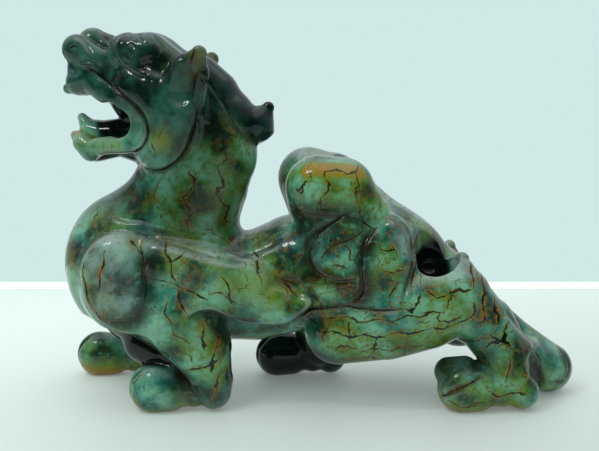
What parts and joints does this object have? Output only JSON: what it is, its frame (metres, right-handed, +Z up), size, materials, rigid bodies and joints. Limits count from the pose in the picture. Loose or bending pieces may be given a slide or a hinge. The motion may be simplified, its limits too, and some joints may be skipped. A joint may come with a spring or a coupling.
{
  "type": "carved jade figurine",
  "caption": "Striding winged beast carved in mottled green jade, with an open mouth, a curled mane, humps on the loin and a tail that meets the ground.",
  "frame": {"origin": "on the ground, under the middle of the object's bounding box", "axes": "+X from head to tail, +Y towards the beast's right side, +Z up"},
  "size_m": [0.2081, 0.0684, 0.1456],
  "materials": {
    "dark_jade": "polished, almost black green with grey-lilac sheen",
    "ear_jade": "polished, dark green with an ochre tip",
    "mane_jade": "polished, almost black green",
    "face_jade": "polished, yellow-green with short rust cracks",
    "neck_jade": "polished, dark green with brown stains",
    "front_jade": "polished, sea green with long rust cracks",
    "wing_jade": "polished, sea green with pale grey-lilac rims",
    "hump_jade": "polished, pale green with ochre and brown stains",
    "flank_jade": "polished, green with dense brown cracks",
    "thigh_jade": "polished, sea green with thin brown cracks",
    "paw_jade": "polished, green with ochre soles",
    "tail_jade": "polished, green with a pale middle and brown rim"
  },
  "bodies": {
    "root": {"tongue": "dark_jade", "left_ear": "ear_jade", "right_ear": "ear_jade", "left_brow": "dark_jade", "right_brow": "dark_jade", "muzzle": "dark_jade", "lower_jaw": "face_jade", "mane": "mane_jade", "left_cheek": "face_jade", "right_cheek": "face_jade", "skull": "dark_jade", "neck": "neck_jade", "left_wing": "wing_jade", "right_wing": "wing_jade", "left_shoulder": "front_jade", "right_shoulder": "front_jade", "left_forepaw": "paw_jade", "right_forepaw": "paw_jade", "left_foreleg": "front_jade", "right_foreleg": "front_jade", "chest": "front_jade", "left_hump": "hump_jade", "right_hump": "hump_jade", "left_haunch": "flank_jade", "right_haunch": "flank_jade", "left_hindpaw": "paw_jade", "right_hindpaw": "paw_jade", "left_hindleg": "thigh_jade", "right_hindleg": "thigh_jade", "tail": "tail_jade", "torso": "flank_jade"}
  },
  "joints": []
}
